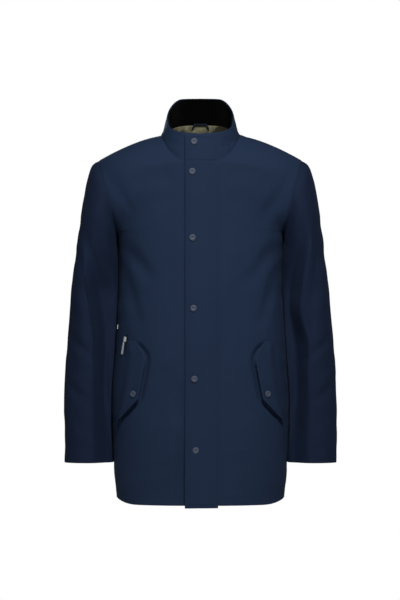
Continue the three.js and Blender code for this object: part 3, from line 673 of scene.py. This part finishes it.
SHELL = cloth_look("shell_cloth", (0.0072, 0.0152, 0.0350), (0.0098, 0.0192, 0.0435))
# The sleeves are the same cloth as the torso: this darker copy of the shell cloth is painted shade, for the
# less light the sleeves catch.
SHELL_CLOTH_SHADED_FOR_SLEEVES = cloth_look("sleeve_cloth_painted_shade", (0.0045, 0.0093, 0.0235), (0.0062, 0.0118, 0.0295))
TAPE = cloth_look("zip_tape", (0.004, 0.006, 0.012), (0.007, 0.010, 0.018), pitch=0.0006, melange=0.2)
POCKET = cloth_look("pocket_cloth", (0.006, 0.008, 0.012), (0.010, 0.013, 0.019), pitch=0.0012, melange=0.3)
LABEL = cloth_look("label", (0.55, 0.55, 0.53), (0.68, 0.68, 0.66), pitch=0.0005, melange=0.1)
THREAD = cloth_look("thread", (0.006, 0.011, 0.026), (0.010, 0.018, 0.040), pitch=0.0003, melange=0.2)
PILE = pile_look()
LINING = lining_look()
ENAMEL = metal_look("snap_enamel", (0.030, 0.043, 0.068), 0.66, metallic=0.0, coat=0.0)
STEEL = metal_look("snap_metal", (0.45, 0.46, 0.48), 0.34)
NICKEL = metal_look("zip_metal", (0.62, 0.64, 0.68), 0.34, metallic=0.4)


# ---- Stitching: short raised threads that dive into the cloth at both ends ----
STITCH_PITCH, STITCH_LENGTH, THREAD_R = 3.4, 2.6, 0.32
RING = [(0, 1), (1, 0.3), (0.6, -0.5), (-0.6, -0.5), (-1, 0.3)]
stitches = {}


def stitch(body, points, normals):
    """One row of stitches along a path on the cloth, kept with the others of that body."""
    gaps = length_of(np.diff(points, axis=0))
    at = np.concatenate([[0], np.cumsum(gaps)])
    count = int((at[-1] - STITCH_LENGTH) // STITCH_PITCH)
    if count < 1:
        return
    starts = (np.arange(count) + 0.5) * STITCH_PITCH
    parts = np.array([0.0, 0.2, 0.5, 0.8, 1.0])
    s = starts[:, None] + parts[None, :] * STITCH_LENGTH
    centre = np.stack([np.interp(s, at, points[:, i]) for i in range(3)], -1)
    up = np.stack([np.interp(s, at, normals[:, i]) for i in range(3)], -1)
    up /= length_of(up)[..., None]
    way = centre[:, -1:] - centre[:, :1]
    way = way / length_of(way)[..., None] + 0 * centre
    side = np.cross(way, up)
    high = np.array([-0.45, 0.12, 0.2, 0.12, -0.45])
    radius = THREAD_R * np.array([0.6, 1, 1, 1, 0.6])
    centre = centre + up * high[None, :, None]
    ring = np.stack([centre + radius[None, :, None] * (side * a + up * b) for a, b in RING], 2)
    sides = len(RING)
    base = (np.arange(count) * len(parts) * sides)[:, None, None]
    ring_index = np.arange(len(parts) - 1)[None, :, None] * sides
    i = np.arange(sides)[None, None, :]
    j = (i + 1) % sides
    a, b = base + ring_index + i, base + ring_index + j
    quads = np.stack([a, b, b + sides, a + sides], -1).reshape(-1, 4)
    stitches.setdefault(body, []).append((ring.reshape(-1, 3), quads))


def row(body, form, u, v, offset):
    """A row of stitches at u and v, either of which may be one number."""
    u, v = np.broadcast_arrays(np.asarray(u, float), np.asarray(v, float))
    points, normals = form.skin(u, v, offset)
    stitch(body, points, normals)


def make_stitches():
    made = {}
    for body, runs in stitches.items():
        vertices, faces, count = [], [], 0
        for points, quads in runs:
            vertices.append(points)
            faces.append(quads + count)
            count += len(points)
        obj = mesh_object(f"stitching_{body}", np.concatenate(vertices), np.concatenate(faces))
        obj.data.materials.append(THREAD)
        made[body] = obj
    return made


# ---- Torso ----
def torso_rows(face, low, high, step=FINE):
    turn = lerp(V_ARMPIT, 1, neck_of(face)["turn"])
    parts = [(low, V_ARMPIT, 983 * (V_ARMPIT - low)), (V_ARMPIT, min(turn, high), 165), (turn, high, 130)]
    values = [lerp(a, b, np.linspace(0, 1, max(2, round(size / step)) + 1)) for a, b, size in parts if b > a]
    values = np.unique(np.round(np.concatenate(values), 6))
    edge = 0.0012
    return np.sort(np.append(values, [low + edge, high - edge]))


def front_form(side):
    return Form(lambda u, v: torso(side, "front", u, v), side, front_fold)


BACK = Form(lambda s, v: torso(np.where(s < 0, -1, 1), "back", np.abs(s), v), -1, back_fold, low=-1.0,
            open_from=lerp(V_ARMPIT, 1, NECK_BACK["turn"]))
FRONTS = {side: front_form(side) for side, _ in SIDES}


def from_centre(x):
    return lambda v: u_at("front", v, x)


def ridden(obj, body, *nodes, slot=None):
    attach(obj, body)
    if nodes:
        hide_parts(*nodes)
    return obj


def slot_cutter(name, low, high, half_width, normal):
    """A long box through the front along the line from low to high."""
    up = (high - low) / length_of(high - low)
    across = np.cross(up, normal)
    across /= length_of(across)
    corners = [end + across * s * half_width + normal * d
               for end in (low, high) for s in (-1, 1) for d in (-9, 6)]
    faces = [(0, 1, 3, 2), (4, 6, 7, 5), (0, 2, 6, 4), (1, 5, 7, 3), (0, 4, 5, 1), (2, 3, 7, 6)]
    return mesh_object(name, corners, faces)


def cut_slot(obj, cutter):
    """Takes the cutter's volume out of obj."""
    modifier = obj.modifiers.new("slot", "BOOLEAN")
    modifier.operation, modifier.solver, modifier.object = "DIFFERENCE", "EXACT", cutter
    bpy.context.view_layer.update()
    cut = bpy.data.meshes.new_from_object(obj.evaluated_get(bpy.context.evaluated_depsgraph_get()))
    obj.modifiers.clear()
    old, obj.data = obj.data, cut
    bpy.data.meshes.remove(old)
    bpy.data.objects.remove(cutter)
    obj.data.shade_smooth()


MOUTH_INSET = 9


def surface_frame(side, x, z):
    point = on_front(side, np.array(x, float), np.array(z, float))
    v = v_at(z)
    normal = FRONTS[side].normal(u_at("front", np.array(v), np.array(float(x))), np.array(v))
    return point, normal


back = cloth("back_cloth", BACK, torso_rows("back", 0, 1), 0, -CLOTH, SHELL, start=-1.0)
sheet(ridden(back, "jacket", "back_panel", slot="shell_cloth"))
back_band = cloth("hem_turning_back", BACK, np.linspace(0.004, 0.05, 8), *TURNED, SHELL,
                  start=-0.98, end=0.98, step=COARSE)
sheet(ridden(back_band, "jacket", "hem_facing_back", slot="shell_cloth"))
back_lining = cloth("back_lining", BACK, torso_rows("back", 0.06, 0.97, COARSE), -8.6, -9.8, LINING,
                    start=-1.0, step=COARSE)
sheet(ridden(back_lining, "jacket", "lining_back", slot="lining"))

for side, label in SIDES:
    form = FRONTS[side]
    panel = cloth(f"front_cloth_{label}", form, torso_rows("front", 0, 1), 0, -CLOTH, SHELL,
                  start=from_centre(CENTRE_GAP))
    low, low_normal = surface_frame(side, FLAP_SEWN_BOTTOM_X - MOUTH_INSET, FLAP_BOTTOM + 22)
    high, high_normal = surface_frame(side, FLAP_SEWN_TOP_X - MOUTH_INSET, FLAP_TOP - 14)
    cut_slot(panel, slot_cutter("mouth", low, high, 1.5, (low_normal + high_normal) / 2))
    if side < 0:
        low, low_normal = surface_frame(side, *POCKET_ZIP_LOW)
        high, high_normal = surface_frame(side, *POCKET_ZIP_TOP)
        up = (high - low) / length_of(high - low)
        cut_slot(panel, slot_cutter("zip_slot", low, high + 8 * up, 9.6, (low_normal + high_normal) / 2))
    sheet(ridden(panel, "jacket", f"front_{label}", slot="shell_cloth"))
    turned = cloth(f"front_turning_{label}", form, np.linspace(0.015, lerp(V_ARMPIT, 1, 0.53), 90), *TURNED,
                   SHELL, start=from_centre(24), end=from_centre(64), step=COARSE)
    sheet(ridden(turned, "jacket", f"front_facing_{label}", slot="shell_cloth"))
    band = cloth(f"hem_turning_{label}", form, np.linspace(0.004, 0.05, 8), *TURNED, SHELL,
                 start=from_centre(68), end=0.98, step=COARSE)
    sheet(ridden(band, "jacket", f"hem_facing_{label}", slot="shell_cloth"))
    inside = cloth(f"front_lining_{label}", form, torso_rows("front", 0.06, 0.985, COARSE), -8.6, -9.8,
                   LINING, start=from_centre(66), end=0.98, step=COARSE)
    sheet(ridden(inside, "jacket", f"lining_front_{label}", slot="lining"))

# ---- Collar ----
COLLAR = Form(collar_point, 1, collar_fold)


def collar_start(edge):
    return lambda height: np.arcsin(edge / lerp(NECK_X, COLLAR_X, height)) / (2 * PI)


def collar_band(name, rows, outer, inner, edge, material, step=FINE):
    first = collar_start(edge)
    return cloth(name, COLLAR, rows, outer, inner, material, start=first, end=lambda h: 1 - first(h),
                 step=step)


stand = collar_band("collar_cloth", lerp(-0.09, 1, spaced(3.0, 70)), 0, -CLOTH, CENTRE_GAP, SHELL, step=3.0)
sheet(ridden(stand, "jacket", "collar_outer", slot="shell_cloth"))
neck_band = cloth("neck_lining", COLLAR, lerp(-0.16, 0.12, spaced(2.0, 20)), -6.4, -7.4, LINING, start=0.27,
                  end=0.73, step=3.0)
sheet(ridden(neck_band, "jacket", slot="lining"))
pile = collar_band("collar_pile_facing", lerp(0.06, 0.99, spaced(3.0, 62)), -3.8, -6.2, 24, PILE, step=3.0)
sheet(ridden(pile, "jacket", "collar_facing", slot="collar_pile"))

# ---- Storm placket ----
STRIP = Form(lambda u, v: front_strip(lerp(PLACKET["free"], PLACKET["sewn"], u),
                                      lerp(PLACKET["bottom"], PLACKET["top"], v)), 1, placket_fold)


def placket_offset(low, high):
    return lambda u, v: lerp(low, high, smooth((1 - u) / 0.4))


PLACKET_OUTER, PLACKET_INNER = placket_offset(0.9, 5.8), placket_offset(0.35, 3.6)
placket = cloth("placket_cloth", STRIP, spaced(FINE, 813), PLACKET_OUTER, PLACKET_INNER, SHELL, step=3.0)
sheet(ridden(placket, "placket", "storm_placket", slot="shell_cloth"))


# ---- Snaps ----
def lathed(name, outline, segments=40):
    """A closed turned piece about +Z, from (radius, height) points that start and end on the axis."""
    rings = [(r, z) for r, z in outline if r > 0]
    turn = np.linspace(0, 2 * PI, segments, endpoint=False)
    vertices = [(r * math.cos(a), r * math.sin(a), z) for r, z in rings for a in turn]
    faces = [(k * segments + i, k * segments + (i + 1) % segments, (k + 1) * segments + (i + 1) % segments,
              (k + 1) * segments + i) for k in range(len(rings) - 1) for i in range(segments)]
    low, high = len(vertices), len(vertices) + 1
    vertices += [(0, 0, outline[0][1]), (0, 0, outline[-1][1])]
    last = (len(rings) - 1) * segments
    faces += [(low, (i + 1) % segments, i) for i in range(segments)]
    faces += [(high, last + i, last + (i + 1) % segments) for i in range(segments)]
    return mesh_object(name, vertices, faces)


CAP = [(0, 0), (6.4, 0), (7.2, 0.35), (SNAP_R, 0.9), (7.15, 1.6), (6.5, 2.2), (5.5, 2.52), (4.3, SNAP_H),
       (3.2, 2.45), (2.5, 2.05), (1.9, 1.62), (1.2, 1.45), (0, 1.4)]
STUD = [(0, 0), (4.8, 0), (STUD_R, 0.3), (4.7, 0.75), (3.2, 0.85), (2.1, 0.95), (1.8, 1.6), (2.3, 2.1),
        (2.2, 2.5), (1.6, STUD_H), (0, STUD_H)]


def put_on(obj, point, normal):
    """Stands a turned piece on a point in millimetres, with its axis along the normal."""
    turn = Vector(normal).to_track_quat("Z", "Y").to_matrix().to_4x4()
    turn.translation = Vector(point) * MM
    obj.data.transform(turn)
    return obj


def snap(label, form, u, v, out, body, nodes):
    """A cap on top of the cloth and a stud on the layer below."""
    point, normal = form.surface(np.array(u), np.array(v)), form.normal(np.array(u), np.array(v))
    cap = lathed(f"snap_{label}_cap", CAP)
    cap.data.materials.append(ENAMEL)
    ridden(put_on(cap, point + normal * out, normal), body, nodes[0], slot="snap_enamel")
    stud = lathed(f"snap_{label}_stud", STUD, 28)
    stud.data.materials.append(STEEL)
    ridden(put_on(stud, point + normal * 0.5, normal), "jacket", nodes[1], slot="snap_metal")


for i, (x, z) in enumerate(SNAPS, 1):
    snap(f"{i}", STRIP, (x - PLACKET["free"]) / (PLACKET["sewn"] - PLACKET["free"]),
         (z - PLACKET["bottom"]) / (PLACKET["top"] - PLACKET["bottom"]), 6.0, "placket",
         (f"snap_cap_{i}", f"snap_stud_{i}"))

# ---- Pocket flaps and bags ----
def flap_form(side):
    def surface(u, v):
        z = lerp(FLAP_BOTTOM, FLAP_TOP, v)
        return on_front(side, lerp(flap_edge_x(z), sewn_edge_x(z), u), z)

    return Form(surface, side, flap_fold)


def flap_offset(low, high):
    return lambda u, v: lerp(low, high, smooth((1 - u) / 0.35) * lerp(0.25, 1, smooth((1 - v) / 0.14)))


FLAPS = {side: flap_form(side) for side, _ in SIDES}
FLAP_ROWS = np.unique(np.concatenate([spaced(3.0, 171), [(z - FLAP_BOTTOM) / (FLAP_TOP - FLAP_BOTTOM)
                                                         for z, _ in FLAP_EDGE]]))


def bag_form(side):
    def surface(u, v):
        z = lerp(-690, -462, v)
        return on_front(side, sewn_edge_x(z) - 2 - 88 * (1 - u), z)

    return Form(surface, side, front_fold)


for side, label in SIDES:
    flap = cloth(f"flap_cloth_{label}", FLAPS[side], FLAP_ROWS, flap_offset(2.6, 5.9),
                 flap_offset(0.6, 3.9), SHELL, step=2.5)
    sheet(ridden(flap, f"flap_{label}", f"pocket_flap_{label}", slot="shell_cloth"))
    z = FLAP_SNAP[1]
    u = (FLAP_SNAP[0] - flap_edge_x(z)) / (sewn_edge_x(z) - flap_edge_x(z))
    snap(f"flap_{label}", FLAPS[side], u, (z - FLAP_BOTTOM) / (FLAP_TOP - FLAP_BOTTOM), 7.8, f"flap_{label}",
         (f"flap_snap_cap_{label}", f"flap_snap_stud_{label}"))
    bag = cloth(f"pocket_lining_{label}", bag_form(side), np.linspace(0, 1, 30), -4.2, -5.6, POCKET,
                step=COARSE)
    sheet(ridden(bag, "jacket", f"pocket_bag_{label}", slot="pocket_cloth"))

# ---- Sleeves ----
SLEEVES = {side: Form(lambda u, v, side=side: sleeve_point(side, u, v), side, sleeve_fold, ring=True)
           for side, _ in SIDES}


def blend_sleeve(obj, side, label, *nodes, slot="shell_cloth"):
    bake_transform(obj)
    if nodes:
        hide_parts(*nodes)
    return obj


for side, label in SIDES:
    form = SLEEVES[side]
    # The sleeve and its cuff turning wear the darker painted-shade copy of the shell cloth.
    sleeve = cloth(f"sleeve_cloth_painted_shade_{label}", form, spaced(FINE, 640), 0, -CLOTH, SHELL_CLOTH_SHADED_FOR_SLEEVES)
    sheet(blend_sleeve(sleeve, side, label, f"sleeve_{label}"))
    inside = cloth(f"sleeve_inside_{label}", form, lerp(0.1, 0.93, spaced(COARSE, 540)), -5.6, -6.8, LINING,
                   step=COARSE)
    sheet(blend_sleeve(inside, side, label, f"sleeve_lining_{label}", slot="lining"))
    cuff = cloth(f"cuff_turning_{label}", form, np.linspace(0.94, 0.996, 9), -4.2, -5.3, SHELL_CLOTH_SHADED_FOR_SLEEVES, step=COARSE)
    sheet(blend_sleeve(cuff, side, label, f"cuff_facing_{label}"))

# ---- Stitched rows ----
FULL = np.linspace(0, 1, 260)


def row_length(form, v):
    line = form.surface(np.linspace(0, 1, 40)[None, :] + 0 * v[:, None], v[:, None] + np.zeros((1, 40)))
    return length_of(np.diff(line, axis=1)).sum(1)


for inset in (5, 10.5):
    row("placket", STRIP, inset / 71, np.linspace(0.008, 0.992, 260), PLACKET_OUTER(inset / 71, 0))
row("placket", STRIP, 1 - 4 / 71, np.linspace(0.008, 0.9, 260), PLACKET_OUTER(1 - 4 / 71, 0))
across = np.linspace(0.08, 0.95, 40)
row("placket", STRIP, across, 0.0085, PLACKET_OUTER(across, 0))
row("placket", STRIP, across, 0.9915, PLACKET_OUTER(across, 0))
for z in (-58, -67):
    row("placket", STRIP, across, (z - PLACKET["bottom"]) / (PLACKET["top"] - PLACKET["bottom"]),
        PLACKET_OUTER(across, 0))
left_z = np.linspace(-790, -72, 240)
row("jacket", FRONTS[1], u_at("front", v_at(np.minimum(left_z, ARMPIT_Z)), 42.0)[left_z <= ARMPIT_Z],
    v_at(left_z)[left_z <= ARMPIT_Z], 0.0)
high_v = lerp(V_ARMPIT, 1, NECK_FRONT["turn"] * (left_z - ARMPIT_Z)
              / (NECK_FRONT["z"] - ARMPIT_Z))[left_z > ARMPIT_Z]
row("jacket", FRONTS[1], u_at("front", high_v, 42.0), high_v, 0.0)
hem_v = v_at(HEM_Z + 19)
row("jacket", BACK, np.linspace(-0.995, 0.995, 200), hem_v, 0.0)
for side, label in SIDES:
    form = FRONTS[side]
    row("jacket", form, np.linspace(u_at("front", hem_v, 12 if side < 0 else 44), 0.995, 100), hem_v, 0.0)
    for face, torso_form in (("front", form), ("back", BACK)):
        sign = 1 if face == "front" else side
        arm_v = np.linspace(V_ARMPIT + 0.012, 0.995, 90)
        lengths = row_length(torso_form, arm_v)
        row("jacket", torso_form, sign * (1 - 5.0 / lengths), arm_v, 0.0)
    side_v = np.linspace(0.01, V_ARMPIT - 0.01, 150)
    row("jacket", BACK, side * (1 - 4.0 / row_length(BACK, side_v)), side_v, 0.0)
    for level in (0.984, 0.978):
        row(f"arm_{label}", SLEEVES[side], FULL, level, 0.0)
    row(f"arm_{label}", SLEEVES[side], 0.62, np.linspace(0.03, 0.99, 200), 0.0)
    flap = FLAPS[side]
    flap_v = np.linspace(0.05, 0.96, 90)
    widths = row_length(flap, flap_v)
    inner = 6.0 / widths
    row(f"flap_{label}", flap, inner, flap_v, flap_offset(2.6, 5.9)(inner, 0))
    for inset in (3.0, 8.5):
        seam = 1 - inset / widths
        row(f"flap_{label}", flap, seam, flap_v, flap_offset(2.6, 5.9)(seam, 0))
for height in (0.05, 0.13):
    row("jacket", COLLAR, np.linspace(0.12, 0.88, 200), height, 0.0)
row("jacket", COLLAR, np.linspace(0.02, 0.98, 240), 0.91, 0.0)
zip_turn = np.linspace(0, 1, 80)
for out in (-13, 13):
    line_z = lerp(POCKET_ZIP_LOW[1], POCKET_ZIP_TOP[1], zip_turn)
    line_x = lerp(POCKET_ZIP_LOW[0], POCKET_ZIP_TOP[0], zip_turn) + out
    keep = line_x < side_x(line_z) - 1
    row("jacket", FRONTS[-1], u_at("front", v_at(line_z[keep]), line_x[keep]), v_at(line_z[keep]), 0.0)

made = make_stitches()
for body, obj in made.items():
    if body.startswith("arm_"):
        blend_sleeve(obj, 1 if body.endswith("left") else -1, body[4:])
    else:
        ridden(obj, body, slot="shell_cloth")

# ---- Zips ----
CENTRE_Z = np.array([0, 0.0475, 1]) / math.hypot(1, 0.0475)
CENTRE_AXES = np.array([[1, 0, 0], np.cross(CENTRE_Z, [1, 0, 0]), CENTRE_Z])
CENTRE_TOP = np.array([0, -100.0, 0])
zip_low = surface_frame(-1, *POCKET_ZIP_LOW)
zip_high = surface_frame(-1, *POCKET_ZIP_TOP)
zip_up = (zip_high[0] - zip_low[0]) / length_of(zip_high[0] - zip_low[0])
zip_in = -(zip_low[1] + zip_high[1])
zip_in -= zip_in.dot(zip_up) * zip_up
zip_in /= length_of(zip_in)
POCKET_AXES = np.array([np.cross(zip_in, zip_up), zip_in, zip_up])


def teeth(name, origin, axes, side, x0, x1, depth, top, bottom, pitch):
    """A row of moulded teeth along a zip's edge, each with a rounded head."""
    plan = [(x1, -0.5), (x0 + 0.5, -0.42), (x0, -0.24), (x0, 0.24), (x0 + 0.5, 0.42), (x1, 0.5)]
    size = len(plan)
    block, faces, count = [], [], 0
    for z in np.arange(bottom, top, pitch):
        shift = 0.25 * pitch * side
        for y in depth:
            block += [(side * x, y, z + shift + w * pitch * 0.72) for x, w in plan]
        for i in range(size):
            j = (i + 1) % size
            faces.append([count + i, count + j, count + size + j, count + size + i])
        faces.append([count + i for i in range(size)][::-1])
        faces.append([count + size + i for i in range(size)])
        count += 2 * size
    if side < 0:
        faces = [f[::-1] for f in faces]
    obj = mesh_object(name, origin + np.array(block) @ axes, faces)
    obj.data.shade_flat()
    obj.data.materials.append(NICKEL)
    return ridden(obj, "jacket", slot="zip_metal")


for side, label in SIDES:
    teeth(f"zip_teeth_{label}", CENTRE_TOP, CENTRE_AXES, side, 0.35, 2.7, (-0.9, 0.0), -10, -740, 2.4)
    teeth(f"pocket_zip_teeth_{'inner' if side > 0 else 'outer'}", zip_high[0], POCKET_AXES, side, 0.12, 2.0,
          (-0.25, 0.15), -16, -136, 2.0)


def finish_node(name, material, bevel=0.35):
    """A CAD node that keeps its shape gets softened edges and a finish."""
    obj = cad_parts[name]
    obj.data.materials.clear()
    obj.data.materials.append(material)
    edge = obj.modifiers.new("edges", "BEVEL")
    edge.width, edge.segments, edge.limit_method = bevel * MM, 2, "ANGLE"


for name in ("zip_slider", "zip_pull", "zip_stop_left", "zip_stop_right", "zip_box", "pocket_zip_slider",
             "pocket_zip_pull"):
    finish_node(name, NICKEL)
for name in ("zip_tape_left", "zip_tape_right", "pocket_zip_tape_inner", "pocket_zip_tape_outer",
             "hanger_loop"):
    finish_node(name, TAPE, 0.2)
finish_node("zip_guard", SHELL, 0.3)
finish_node("side_tag", LABEL, 0.2)

# ---- Stage, light and camera ----
def area_light(name, place, target, size, power, colour=(1, 1, 1)):
    data = bpy.data.lights.new(name, "AREA")
    data.shape, data.size, data.energy, data.color = "DISK", size, power, colour
    obj = bpy.data.objects.new(name, data)
    obj.location = place
    obj.rotation_euler = (Vector(target) - Vector(place)).to_track_quat("-Z", "Y").to_euler()
    bpy.context.scene.collection.objects.link(obj)


FLOOR_Z = -1450
FLOOR_R, FLOOR_THICK = 3500, 20
floor = lathed("floor", [(0, FLOOR_Z - FLOOR_THICK), (FLOOR_R, FLOOR_Z - FLOOR_THICK), (FLOOR_R, FLOOR_Z),
                         (0, FLOOR_Z)], 96)
floor_look = Look("floor", Roughness=0.9)
speckle = floor_look.node("TexNoise", 0, (), Vector=floor_look.place(), Scale=30.0, Detail=3.0)
floor_look.fill(floor_look.shader,
                {"Base Color": floor_look.blend(speckle, (0.86, 0.86, 0.86), (0.9, 0.9, 0.9))})
floor.data.materials.append(floor_look.material)
floor.data.shade_flat()

world = bpy.data.worlds.new("studio")
bpy.context.scene.world = world
world.use_nodes = True
AMBIENT = 0.07
background = world.node_tree.nodes["Background"]
seen = world.node_tree.nodes.new("ShaderNodeLightPath").outputs["Is Camera Ray"]
strength = world.node_tree.nodes.new("ShaderNodeMapRange")
strength.inputs["To Min"].default_value = AMBIENT
world.node_tree.links.new(seen, strength.inputs["Value"])
world.node_tree.links.new(strength.outputs[0], background.inputs["Strength"])
background.inputs["Color"].default_value = (1, 1, 1, 1)
MIDDLE = (0, 0, -0.3)
area_light("key", (0.2, -1.95, 1.45), MIDDLE, 0.6, 75)
area_light("back", (-0.5, 3.4, 0.5), MIDDLE, 1.2, 44)
area_light("fill", (-0.6, -4.2, 0.3), MIDDLE, 1.4, 15)

CAMERA_DISTANCE = 7.0
FRONT_DEPTH = 0.06
VIEW_HEIGHT = 1.308
CAMERA_Z = -0.362
camera = bpy.data.cameras.new("camera")
camera.sensor_fit = "VERTICAL"
camera.sensor_height = 36
camera.lens = 36 * (CAMERA_DISTANCE - FRONT_DEPTH) / VIEW_HEIGHT
view = bpy.data.objects.new("camera", camera)
view.location = (-0.001, -CAMERA_DISTANCE, CAMERA_Z)
view.rotation_euler = (PI / 2, 0, 0)
bpy.context.scene.collection.objects.link(view)
bpy.context.scene.camera = view
bpy.context.scene.view_settings.view_transform = "Standard"
